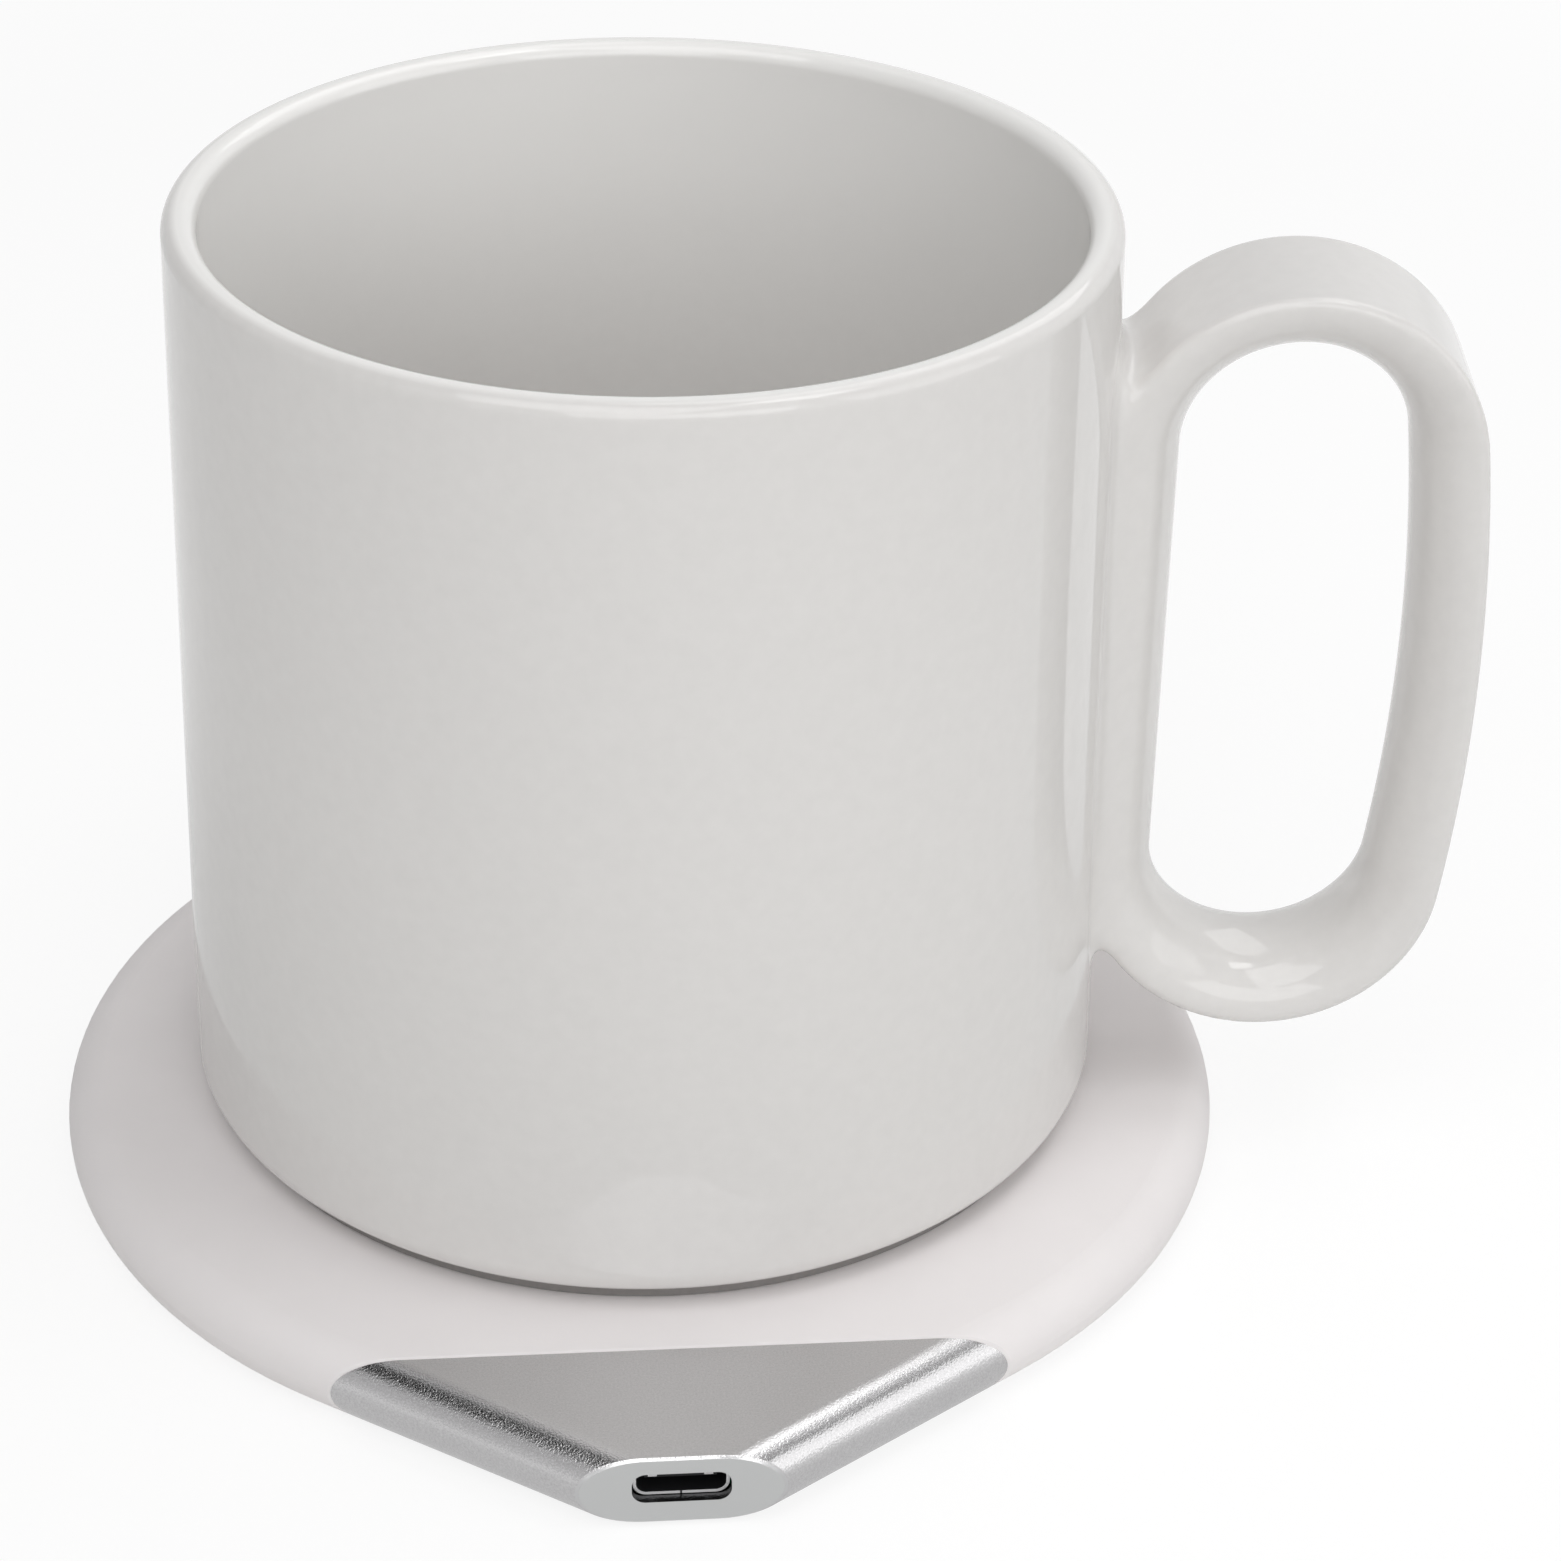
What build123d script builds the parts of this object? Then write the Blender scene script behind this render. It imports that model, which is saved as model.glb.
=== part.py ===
from build123d import *
import math
import os

# An inductive mug warmer: a thin teardrop pad with an aluminium nose and a USB-C inlet, and a ceramic
# mug that carries its own receiver coil and heating film. The mug stands on the pad and lifts off.
# Millimetres. +Z is up, the table is z = 0, and the origin is under the middle of the pad's circle.
# The nose points to -Y, and the mug's handle is near +X.

# ------------------------------------------------------------------ pad housing
pad_radius = 60.0
pad_thickness = 7.6
nose_projection = 6.45  # end face of the nose, beyond the pad's circle
nose_face_width = 19.4  # end face, at mid-height
joint_setback = 9.45  # plastic-to-aluminium joint, inside the pad's circle
top_wall = 1.2
side_wall = 1.5
full_round_relief = 0.01  # keeps the two halves of a full-round edge just apart
foot_proud = 0.4  # the silicone sheet lifts the housing by this much

# ------------------------------------------------------------------ floor plate, silicone sheet
floor_thickness = 1.4
underside_margin = 6.2  # from the rounded rim to the floor plate's opening
floor_fit = 0.15
ledge_width = 1.5  # ledge that the floor plate rests on
ledge_thickness = 0.8
sheet_thickness = 0.8
sheet_margin = 3.1  # from the floor plate's edge to the silicone sheet
sheet_fit = 0.1

# ------------------------------------------------------------------ screws
screw_radius = 0.9
screw_fit = 0.05
screw_head_radius = 1.8
screw_head_height = 0.8
screw_head_round = 0.25
drive_width = 0.5  # one bar of the cross recess
drive_reach = 1.0  # from the middle to a bar's end
drive_depth = 0.4
cover_screw_length = 4.6
nose_screw_length = 3.8
board_screw_length = 3.0
carrier_screw_length = 2.6
hole_spare = 0.3  # a blind hole, beyond the screw's tip
boss_wall = 1.4
screw_to_sheet_edge = 1.5  # the cover screws' heads stay this far under the silicone sheet

# ------------------------------------------------------------------ aluminium nose
nose_edge_chamfer = 0.25
joint_chamfer = 0.2  # on both sides of the plastic-to-aluminium joint
plug_fit = 0.1  # the nose's plug in the top cover's cavity
plug_length = 4.6
face_wall = 1.0  # aluminium in front of the receptacle
lug_spacing = 22.0  # between the two lugs' screws
lug_setback = 4.0  # from the plug's back to a lug's screw
lug_height = 3.2
pocket_width = 14.0
pocket_floor = 2.0
pocket_roof = 1.6

# ------------------------------------------------------------------ USB-C receptacle
usb_opening_width = 9.2
usb_opening_height = 3.3
usb_rise = 0.35  # centre of the opening, above the middle of the housing
usb_shell_width = 8.94
usb_shell_height = 3.16
usb_shell_wall = 0.3
usb_shell_length = 7.3
usb_shell_corner = 1.3
usb_front_gap = 0.05
usb_wing_width = 1.3
usb_tongue_width = 6.69
usb_tongue_thickness = 0.7
usb_tongue_setback = 0.95
usb_base_length = 1.8
usb_base_fit = 0.02
contact_count = 12
contact_pitch = 0.5
contact_width = 0.25
contact_thickness = 0.06
contact_length = 3.4
contact_setback = 0.4

# ------------------------------------------------------------------ transmitter coil stack
coil_inner_radius = 9.0
coil_wire = 1.2
coil_gap = 0.2  # between coil and top wall
winding_valley = 0.6  # height of the surface between two turns, as a share of a turn's crest
ferrite_thickness = 1.0
ferrite_hole_radius = 1.6
carrier_floor = 0.8
carrier_wall = 1.0
carrier_fit = 0.3
carrier_wall_height = 1.9
carrier_ear_radius = 2.4
carrier_ear_offset = 3.8  # screw circle, outside the coil
lead_radius = 0.5
lead_bend = 1.2
lead_spacing = 5.0
lead_notch_side = 0.8  # notch in the carrier's wall, beside the leads
bead_radius = 1.0
flex_width = 1.6
flex_thickness = 0.15
flex_angle = 45.0  # degrees from +X

# ------------------------------------------------------------------ main board
board_thickness = 1.0
board_ring_width = 12.7  # the coil stack fills the middle of the ring
board_edge_gap = 2.0  # inside the ledge
board_ear_gap = 0.6  # around the coil carrier
board_boss_gap = 0.4
board_lug_gap = 1.2
board_arm_width = 2.0  # each side of the receptacle
board_cutout_gap = 0.1
board_slot_gap = 0.5  # slot for the board's tongue, in the top cover's ledge
board_hole_spare = 0.15
lead_landing = 1.6  # from the board's inner edge to a coil lead

component_edge = 0.12  # eased upper edge of a moulded component
inductor_size = 8.0
inductor_height = 2.4
inductor_corner = 1.0
chip_size = 6.0
chip_height = 0.9
transistor_length = 5.0
transistor_width = 4.0
transistor_height = 1.0
capacitor_length = 4.5
capacitor_width = 3.2
capacitor_height = 2.0

# ------------------------------------------------------------------ mug
mug_x = 0.4  # where the mug stands on the pad
mug_y = 1.3
mug_top_radius = 45.0
mug_bottom_radius = 46.7
mug_height = 93.4
mug_wall = 3.3
mug_floor = 4.5
mug_lip_round = 1.5
mug_foot_round = 3.1
mug_floor_round = 7.0
recess_wall = 4.7  # between the recess and the mug's bottom edge
recess_depth = 9.0
recess_round = 0.8
recess_edge = 0.3

# ------------------------------------------------------------------ mug handle
handle_angle = -5.4  # degrees from +X, about the mug's axis
handle_sink = 1.0  # how deep the ring's mug side is let into the wall
handle_centre_height = 47.6  # above the mug's underside
handle_height = 81.0
handle_width = 37.1
band_thickness = 6.8
band_depth = 16.0
band_edge_round = 0.8  # on both edges of the band's outer side
handle_bow = 0.7  # the corners' radius is this much under half the ring's width, so the outer side bows

# ------------------------------------------------------------------ mug base
cap_thickness = 1.4
cap_step = 2.5  # from the mug's bottom radius in to the cap's edge
cap_edge = 0.25
spigot_fit = 0.2
spigot_wall = 2.2
spigot_height = 4.0
seal_size = 1.2
seal_fit = 0.05
seal_rise = 1.2
receiver_coil_margin = 11.0  # from the receiver board's edge to its coil
receiver_coil_hole = 9.0
receiver_coil_wire = 1.2
receiver_ferrite_thickness = 0.8
receiver_board_thickness = 1.0
receiver_board_gap = 1.6  # from the spigot's inside
receiver_board_rise = 3.2  # from the cap's floor
receiver_post_inset = 4.0
receiver_screw_length = 3.0
film_margin = 5.0  # from the recess's wall to the film's edge
film_thickness = 0.3
insulation_thickness = 2.0
pocket_gap = 0.4
cutout_length = 8.0
cutout_width = 4.0
cutout_height = 1.6
cutout_corner = 1.0
sensor_radius = 1.2
sensor_height = 1.5
sensor_offset = 14.0  # thermistor and cut-out, from the mug's axis
leg_radius = 0.25
leg_spacing = 1.4
film_lead_radius = 0.45
film_lead_spacing = 5.0
film_lead_inset = 4.0
rectifier_size = 5.0
rectifier_height = 1.0
smoothing_length = 5.6
smoothing_width = 4.0
smoothing_height = 2.0
smoothing_pitch = 7.8

# ------------------------------------------------------------------ worked out: pad heights
housing_bottom = foot_proud
housing_top = housing_bottom + pad_thickness
housing_middle = housing_bottom + pad_thickness / 2
floor_top = housing_bottom + floor_thickness
ledge_top = floor_top + ledge_thickness
cavity_top = housing_top - top_wall
coil_top = cavity_top - coil_gap
coil_bottom = coil_top - coil_wire
ferrite_bottom = coil_bottom - ferrite_thickness
carrier_bottom = ferrite_bottom - carrier_floor
usb_height = housing_middle + usb_rise
board_bottom = usb_height - usb_shell_height / 2
board_top = board_bottom + board_thickness

# ------------------------------------------------------------------ worked out: pad plan
nose_reach = pad_radius + nose_projection
joint_reach = pad_radius - joint_setback
nose_corner_distance = math.hypot(nose_face_width / 2, nose_reach)
nose_side_angle = (math.atan2(nose_face_width / 2, nose_reach)
                   + math.acos(pad_radius / nose_corner_distance))
floor_radius = pad_radius - pad_thickness / 2 - underside_margin
ledge_radius = floor_radius - ledge_width
sheet_radius = floor_radius - sheet_margin
boss_radius = screw_radius + boss_wall
boss_circle = sheet_radius - screw_to_sheet_edge - screw_head_radius
board_outer_radius = ledge_radius - board_edge_gap
board_inner_radius = board_outer_radius - board_ring_width
board_middle_radius = (board_inner_radius + board_outer_radius) / 2
carrier_screw_circle = board_inner_radius - board_ear_gap - carrier_ear_radius
coil_outer_radius = carrier_screw_circle - carrier_ear_offset
carrier_wall_radius = coil_outer_radius + carrier_fit
carrier_outer_radius = carrier_wall_radius + carrier_wall
plug_back = joint_reach - plug_length
lug_reach = plug_back - lug_setback
board_front = lug_reach - boss_radius - board_lug_gap
usb_front = nose_reach - face_wall - usb_front_gap
usb_back = usb_front - usb_shell_length
board_tongue_width = usb_shell_width + 2 * board_cutout_gap + 2 * board_arm_width

# ------------------------------------------------------------------ worked out: mug
cap_bottom = housing_top
mug_bottom = cap_bottom + cap_thickness
mug_top = mug_bottom + mug_height
recess_top = mug_bottom + recess_depth
mug_floor_top = recess_top + mug_floor
mug_taper = (mug_bottom_radius - mug_top_radius) / mug_height
recess_radius = mug_bottom_radius - recess_wall
spigot_radius = recess_radius - spigot_fit
spigot_inner_radius = spigot_radius - spigot_wall
receiver_coil_bottom = mug_bottom
receiver_ferrite_bottom = receiver_coil_bottom + receiver_coil_wire
receiver_board_bottom = mug_bottom + receiver_board_rise
receiver_board_top = receiver_board_bottom + receiver_board_thickness
receiver_board_radius = spigot_inner_radius - receiver_board_gap
receiver_post_circle = receiver_board_radius - receiver_post_inset
receiver_coil_radius = receiver_board_radius - receiver_coil_margin
film_radius = recess_radius - film_margin
film_bottom = recess_top - film_thickness
insulation_bottom = film_bottom - insulation_thickness
film_lead_circle = film_radius - film_lead_inset

COVER_BOSS_ANGLES = (45, 135, 225, 315)
CARRIER_SCREW_ANGLES = (90, 210, 330)
BOARD_POST_ANGLES = (0, 90, 180)
INDUCTOR_ANGLE = 296
CONTROL_CHIP_ANGLE = 244
TRANSISTOR_ANGLES = (162, 192, 200, 208)
CAPACITOR_ANGLES = (14, 21, 28, 66, 73)
RECEIVER_POST_ANGLES = (30, 150, 270)


# ------------------------------------------------------------------ shared shapes
def block(x_low, x_high, y_low, y_high, z_low, z_high):
    """A box from its lowest to its highest corner."""
    box = Box(x_high - x_low, y_high - y_low, z_high - z_low, align=(Align.MIN, Align.MIN, Align.MIN))
    return Pos(x_low, y_low, z_low) * box


def disc(radius, z_low, z_high, at=(0.0, 0.0)):
    """An upright cylinder between two heights."""
    cylinder = Cylinder(radius, z_high - z_low, align=(Align.CENTER, Align.CENTER, Align.MIN))
    return Pos(at[0], at[1], z_low) * cylinder


def on_circle(radius, angles):
    """Points on a circle about the origin, one for each angle in degrees."""
    return [(radius * math.cos(math.radians(a)), radius * math.sin(math.radians(a))) for a in angles]


def teardrop(inset):
    """The pad's plan outline, inset all round, with the nose's two sides run on to a point."""
    radius = pad_radius - inset
    touch_x = radius * math.sin(nose_side_angle)
    touch_y = -radius * math.cos(nose_side_angle)
    point_y = -radius / math.cos(nose_side_angle)
    outline = ThreePointArc((touch_x, touch_y), (0, radius), (-touch_x, touch_y))
    outline += Line((-touch_x, touch_y), (0, point_y))
    outline += Line((0, point_y), (touch_x, touch_y))
    return make_face(outline)


def rounded_slab(inset, z_low, z_high):
    """A teardrop plate whose whole edge is rounded, top to bottom."""
    plate = Pos(0, 0, z_low) * extrude(teardrop(inset), z_high - z_low)
    return fillet(plate.edges().filter_by(Plane.XY), (z_high - z_low) / 2 - full_round_relief)


def behind(reach, z_low, z_high):
    """Everything on the pad's side of a plane at y = -reach."""
    return block(-2 * pad_radius, 2 * pad_radius, -reach, 2 * pad_radius, z_low, z_high)


def drive_recess(z_low, z_high):
    """A screw's cross recess, about the origin."""
    half_bar = drive_width / 2
    bar = block(-drive_reach, drive_reach, -half_bar, half_bar, z_low, z_high)
    return bar + Rot(0, 0, 90) * bar


def countersunk_screw(z_head, length):
    """A screw driven upwards, with its flat head at z_head."""
    head = Pos(0, 0, z_head) * Cone(screw_head_radius, screw_radius, screw_head_height,
                                    align=(Align.CENTER, Align.CENTER, Align.MIN))
    shank = disc(screw_radius, z_head + screw_head_height, z_head + length)
    return head + shank - drive_recess(z_head, z_head + drive_depth)


def pan_screw(z_seat, length):
    """A screw driven upwards, with its head hanging below z_seat."""
    head = disc(screw_head_radius, z_seat - screw_head_height, z_seat)
    head = fillet(head.edges().sort_by(Axis.Z)[0], screw_head_round)
    shank = disc(screw_radius, z_seat, z_seat + length)
    z_drive = z_seat - screw_head_height
    return head + shank - drive_recess(z_drive, z_drive + drive_depth)


def countersink(at, z_low, z_high):
    """The hole that a countersunk screw passes through."""
    cone = Cone(screw_head_radius + screw_fit, screw_radius + screw_fit, screw_head_height,
                align=(Align.CENTER, Align.CENTER, Align.MIN))
    return Pos(at[0], at[1], z_low) * cone + disc(screw_radius + screw_fit, z_low, z_high, at)


def group(shape, places):
    """Copies of one shape at several places, kept as separate solids."""
    return Compound([Pos(x, y, 0) * shape for x, y in places])


def flat_coil(inner_radius, outer_radius, wire, z_low):
    """A one-layer winding: a ring whose top and bottom show each turn."""
    turns = int((outer_radius - inner_radius) / wire)
    pitch = (outer_radius - inner_radius) / turns
    crest = wire / 2
    valley = crest * winding_valley
    edges = [inner_radius + pitch * i for i in range(turns + 1)]
    outline = Curve()
    for left, right in zip(edges[:-1], edges[1:]):
        middle = (left + right) / 2
        outline += ThreePointArc((left, valley), (middle, crest), (right, valley))
        outline += ThreePointArc((left, -valley), (middle, -crest), (right, -valley))
    outline += Line((inner_radius, -valley), (inner_radius, valley))
    outline += Line((outer_radius, -valley), (outer_radius, valley))
    section = Plane.XZ * make_face(outline)
    return Pos(0, 0, z_low + crest) * revolve(section, Axis.Z)


def bent_lead(start, corner, end, radius):
    """A round lead with one bend."""
    route = FilletPolyline(start, corner, end, radius=lead_bend)
    section = Plane(origin=route @ 0, z_dir=route % 0) * Circle(radius)
    return sweep(section, route)


# ------------------------------------------------------------------ pad pieces
def cover_boss_places():
    return on_circle(boss_circle, COVER_BOSS_ANGLES)


def carrier_screw_places():
    return on_circle(carrier_screw_circle, CARRIER_SCREW_ANGLES)


def board_post_places():
    return on_circle(board_middle_radius, BOARD_POST_ANGLES)


def lug_places():
    return [(-lug_spacing / 2, -lug_reach), (lug_spacing / 2, -lug_reach)]


def hanging_bosses(places, z_low, screw_tip):
    """Bosses under the top wall, and the blind holes for their screws."""
    bosses = [disc(boss_radius, z_low, cavity_top + top_wall / 2, at) for at in places]
    holes = [disc(screw_radius + screw_fit, z_low, screw_tip + hole_spare, at) for at in places]
    return bosses, holes


def top_cover():
    shell = rounded_slab(0, housing_bottom, housing_top) & behind(joint_reach, 0, housing_top)
    shell = chamfer(shell.faces().sort_by(Axis.Y)[0].edges(), joint_chamfer)
    shell -= rounded_slab(side_wall, ledge_top, cavity_top)
    shell -= disc(floor_radius + floor_fit, housing_bottom, floor_top)
    shell -= disc(ledge_radius, floor_top, ledge_top)
    slot_half = board_tongue_width / 2 + board_slot_gap
    shell -= block(-slot_half, slot_half, -joint_reach, 0, board_bottom - board_slot_gap, ledge_top)
    boss_sets = (
        hanging_bosses(cover_boss_places(), floor_top, housing_bottom + cover_screw_length),
        hanging_bosses(carrier_screw_places(), ferrite_bottom, carrier_bottom + carrier_screw_length),
        hanging_bosses(board_post_places(), board_top, board_bottom + board_screw_length),
    )
    for bosses, holes in boss_sets:
        for boss in bosses:
            shell += boss
        for hole in holes:
            shell -= hole
    return shell


def bottom_cover():
    plate = disc(floor_radius, housing_bottom, floor_top)
    sheet_top = sheet_thickness
    plate -= disc(sheet_radius + sheet_fit, housing_bottom, sheet_top)
    for at in cover_boss_places() + lug_places():
        plate -= countersink(at, sheet_top, floor_top)
    return plate


def antislip_pad():
    return disc(sheet_radius, 0, sheet_thickness)


def nose_lug(at):
    """A screw lug behind the nose: a foot on the floor plate and a bridge to the plug."""
    foot = disc(boss_radius, floor_top, floor_top + lug_height, at)
    bridge = block(at[0] - boss_radius, at[0] + boss_radius, -plug_back - plug_length / 2, at[1],
                   ledge_top + plug_fit, floor_top + lug_height)
    return foot + bridge


def port_nose():
    outside = rounded_slab(0, housing_bottom, housing_top)
    nose = outside & block(-pad_radius, pad_radius, -nose_reach, -joint_reach, 0, housing_top)
    nose = chamfer(nose.faces().sort_by(Axis.Y)[0].edges(), nose_edge_chamfer)
    nose = chamfer(nose.faces().sort_by(Axis.Y)[-1].edges(), joint_chamfer)
    plug = rounded_slab(side_wall + plug_fit, ledge_top + plug_fit, cavity_top - plug_fit)
    nose += plug & block(-pad_radius, pad_radius, -joint_reach, -plug_back, 0, housing_top)
    for at in lug_places():
        nose += nose_lug(at)
    pocket_low = min(housing_bottom + pocket_floor, board_bottom - plug_fit)
    half_pocket = pocket_width / 2
    pocket_front = nose_reach - face_wall
    nose -= block(-half_pocket, half_pocket, -pocket_front, 0, pocket_low, housing_top - pocket_roof)
    opening = Pos(0, -pocket_front, usb_height) * (Plane.XZ * RectangleRounded(
        usb_opening_width, usb_opening_height, usb_shell_corner))
    nose -= extrude(opening, face_wall, dir=(0, -1, 0))
    tip = sheet_thickness + nose_screw_length
    for at in lug_places():
        nose -= disc(screw_radius + screw_fit, floor_top, tip + hole_spare, at)
    return nose


def usb_tube(width, height, corner, y_front, y_back):
    """A rounded bar along the receptacle's axis."""
    section = Pos(0, -y_back, usb_height) * (Plane.XZ * RectangleRounded(width, height, corner))
    return extrude(section, y_front - y_back, dir=(0, -1, 0))


def usb_inside(shrink, y_front, y_back):
    """The inside of the receptacle's shell, made smaller by a fit."""
    cut = 2 * (usb_shell_wall + shrink)
    corner = usb_shell_corner - usb_shell_wall - shrink
    return usb_tube(usb_shell_width - cut, usb_shell_height - cut, corner, y_front, y_back)


def usb_shell():
    shell = usb_tube(usb_shell_width, usb_shell_height, usb_shell_corner, usb_front, usb_back)
    shell -= usb_inside(0, usb_front, usb_back)
    half_width = usb_shell_width / 2
    wing = block(half_width - usb_shell_wall / 2, half_width + usb_wing_width,
                 -usb_back - usb_shell_length / 3, -usb_back, board_top, board_top + usb_shell_wall)
    return shell + wing + mirror(wing, Plane.YZ)


def usb_tongue():
    base = usb_inside(usb_base_fit, usb_back + usb_base_length, usb_back)
    half_width = usb_tongue_width / 2
    half_thickness = usb_tongue_thickness / 2
    blade = block(-half_width, half_width, -usb_front + usb_tongue_setback, -usb_back - usb_base_length / 2,
                  usb_height - half_thickness, usb_height + half_thickness)
    return base + blade


def usb_contacts():
    first = -contact_pitch * (contact_count - 1) / 2
    y_front = -usb_front + usb_tongue_setback + contact_setback
    top_face = usb_height + usb_tongue_thickness / 2
    bottom_face = usb_height - usb_tongue_thickness / 2
    strips = []
    for i in range(contact_count):
        left = first + contact_pitch * i - contact_width / 2
        for z_low in (top_face, bottom_face - contact_thickness):
            strips.append(block(left, left + contact_width, y_front, y_front + contact_length,
                                z_low, z_low + contact_thickness))
    return Compound(strips)


def coil_carrier():
    tray = disc(carrier_outer_radius, carrier_bottom, ferrite_bottom + carrier_wall_height)
    tray -= disc(carrier_wall_radius, ferrite_bottom, ferrite_bottom + carrier_wall_height)
    half_notch = lead_spacing / 2 + lead_radius + lead_notch_side
    tray -= block(-half_notch, half_notch, -carrier_outer_radius, -coil_inner_radius,
                  ferrite_bottom, ferrite_bottom + carrier_wall_height)
    for at in carrier_screw_places():
        tray += disc(carrier_ear_radius, carrier_bottom, ferrite_bottom, at)
    for angle in CARRIER_SCREW_ANGLES:
        arm = block(coil_outer_radius, carrier_screw_circle, -carrier_ear_radius, carrier_ear_radius,
                    carrier_bottom, ferrite_bottom)
        tray += Rot(0, 0, angle) * arm
    for at in carrier_screw_places():
        tray -= disc(screw_radius + screw_fit, carrier_bottom, ferrite_bottom, at)
    return tray - disc(ferrite_hole_radius, carrier_bottom, ferrite_bottom)


def transmitter_ferrite():
    plate = disc(coil_outer_radius, ferrite_bottom, coil_bottom)
    return plate - disc(ferrite_hole_radius, ferrite_bottom, coil_bottom)


def transmitter_coil():
    return flat_coil(coil_inner_radius, coil_outer_radius, coil_wire, coil_bottom)


def coil_leads():
    landing = board_inner_radius + lead_landing
    middle = (coil_bottom + coil_top) / 2
    leads = []
    for x in (-lead_spacing / 2, lead_spacing / 2):
        leads.append(bent_lead((x, -coil_outer_radius, middle), (x, -landing, middle),
                               (x, -landing, board_top), lead_radius))
    return Compound(leads)


def coil_thermistor():
    """A bead against the top wall, on a flex tail that runs out under the main board."""
    bead_bottom = cavity_top - 2 * bead_radius
    bead = disc(bead_radius, bead_bottom, cavity_top)
    half_width = flex_width / 2
    half_flex = flex_thickness / 2
    tail_bottom = board_bottom - flex_thickness
    stem = block(-half_flex, half_flex, -half_width, half_width, tail_bottom, bead_bottom)
    tail = block(-half_flex, board_inner_radius + lead_landing, -half_width, half_width,
                 tail_bottom, board_bottom)
    return Rot(0, 0, flex_angle) * (bead + stem + tail)


def main_board():
    board = disc(board_outer_radius, board_bottom, board_top)
    board &= behind(board_front, board_bottom, board_top)
    half_tongue = board_tongue_width / 2
    board += block(-half_tongue, half_tongue, -usb_front, 0, board_bottom, board_top)
    board -= disc(board_inner_radius, board_bottom, board_top)
    half_cutout = usb_shell_width / 2 + board_cutout_gap
    board -= block(-half_cutout, half_cutout, -usb_front, -usb_back + board_cutout_gap,
                   board_bottom, board_top)
    for at in cover_boss_places():
        board -= disc(boss_radius + board_boss_gap, board_bottom, board_top, at)
    for at in board_post_places():
        board -= disc(screw_radius + board_hole_spare, board_bottom, board_top, at)
    return board


def on_board(shape, angle):
    """Turns a shape made at +X to its place round the main board."""
    return Rot(0, 0, angle) * (Pos(board_middle_radius, 0, board_top) * shape)


def chip(length, width, height):
    """A component standing on z = 0, with its upper edges eased."""
    body = block(-length / 2, length / 2, -width / 2, width / 2, 0, height)
    return chamfer(body.faces().sort_by(Axis.Z)[-1].edges(), component_edge)


def power_inductor():
    core = block(-inductor_size / 2, inductor_size / 2, -inductor_size / 2, inductor_size / 2,
                 0, inductor_height)
    return on_board(fillet(core.edges().filter_by(Axis.Z), inductor_corner), INDUCTOR_ANGLE)


def control_chip():
    return on_board(chip(chip_size, chip_size, chip_height), CONTROL_CHIP_ANGLE)


def power_transistors():
    body = chip(transistor_length, transistor_width, transistor_height)
    return Compound([on_board(body, angle) for angle in TRANSISTOR_ANGLES])


def resonant_capacitors():
    body = chip(capacitor_length, capacitor_width, capacitor_height)
    return Compound([on_board(body, angle) for angle in CAPACITOR_ANGLES])


def carrier_screws():
    return group(pan_screw(carrier_bottom, carrier_screw_length), carrier_screw_places())


def board_screws():
    return group(pan_screw(board_bottom, board_screw_length), board_post_places())


def cover_screws():
    return group(countersunk_screw(sheet_thickness, cover_screw_length - sheet_thickness),
                 cover_boss_places())


def nose_screws():
    return group(countersunk_screw(sheet_thickness, nose_screw_length), lug_places())


# ------------------------------------------------------------------ mug pieces, about the mug's axis
def mug_radius(z):
    """The mug's outside radius at a height."""
    return mug_bottom_radius - mug_taper * (z - mug_bottom)


def mug_body():
    outline = FilletPolyline(
        (0, mug_floor_top),
        (mug_radius(mug_floor_top) - mug_wall, mug_floor_top),
        (mug_top_radius - mug_wall, mug_top),
        (mug_top_radius, mug_top),
        (mug_bottom_radius, mug_bottom),
        (recess_radius, mug_bottom),
        (recess_radius, recess_top),
        (0, recess_top),
        radius=[mug_floor_round, mug_lip_round, mug_lip_round, mug_foot_round, recess_edge, recess_round])
    section = make_face(outline + Line((0, recess_top), (0, mug_floor_top)))
    return revolve(Plane.XZ * section, Axis.Z)


def band_section():
    """The handle's section: a flat outer side with rounded edges, and a half-elliptical inner side."""
    outer = -band_thickness / 2
    inner_root = outer + band_edge_round
    half_depth = band_depth / 2
    flat_end = half_depth - band_edge_round
    ease = band_edge_round * (1 - math.sqrt(0.5))
    outline = Line((outer, -flat_end), (outer, flat_end))
    outline += ThreePointArc((outer, flat_end), (outer + ease, half_depth - ease), (inner_root, half_depth))
    outline += EllipticalCenterArc((inner_root, 0), band_thickness - band_edge_round, half_depth,
                                   start_angle=-90, arc_size=180)
    outline += ThreePointArc((inner_root, -half_depth), (outer + ease, ease - half_depth), (outer, -flat_end))
    return make_face(outline)


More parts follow.
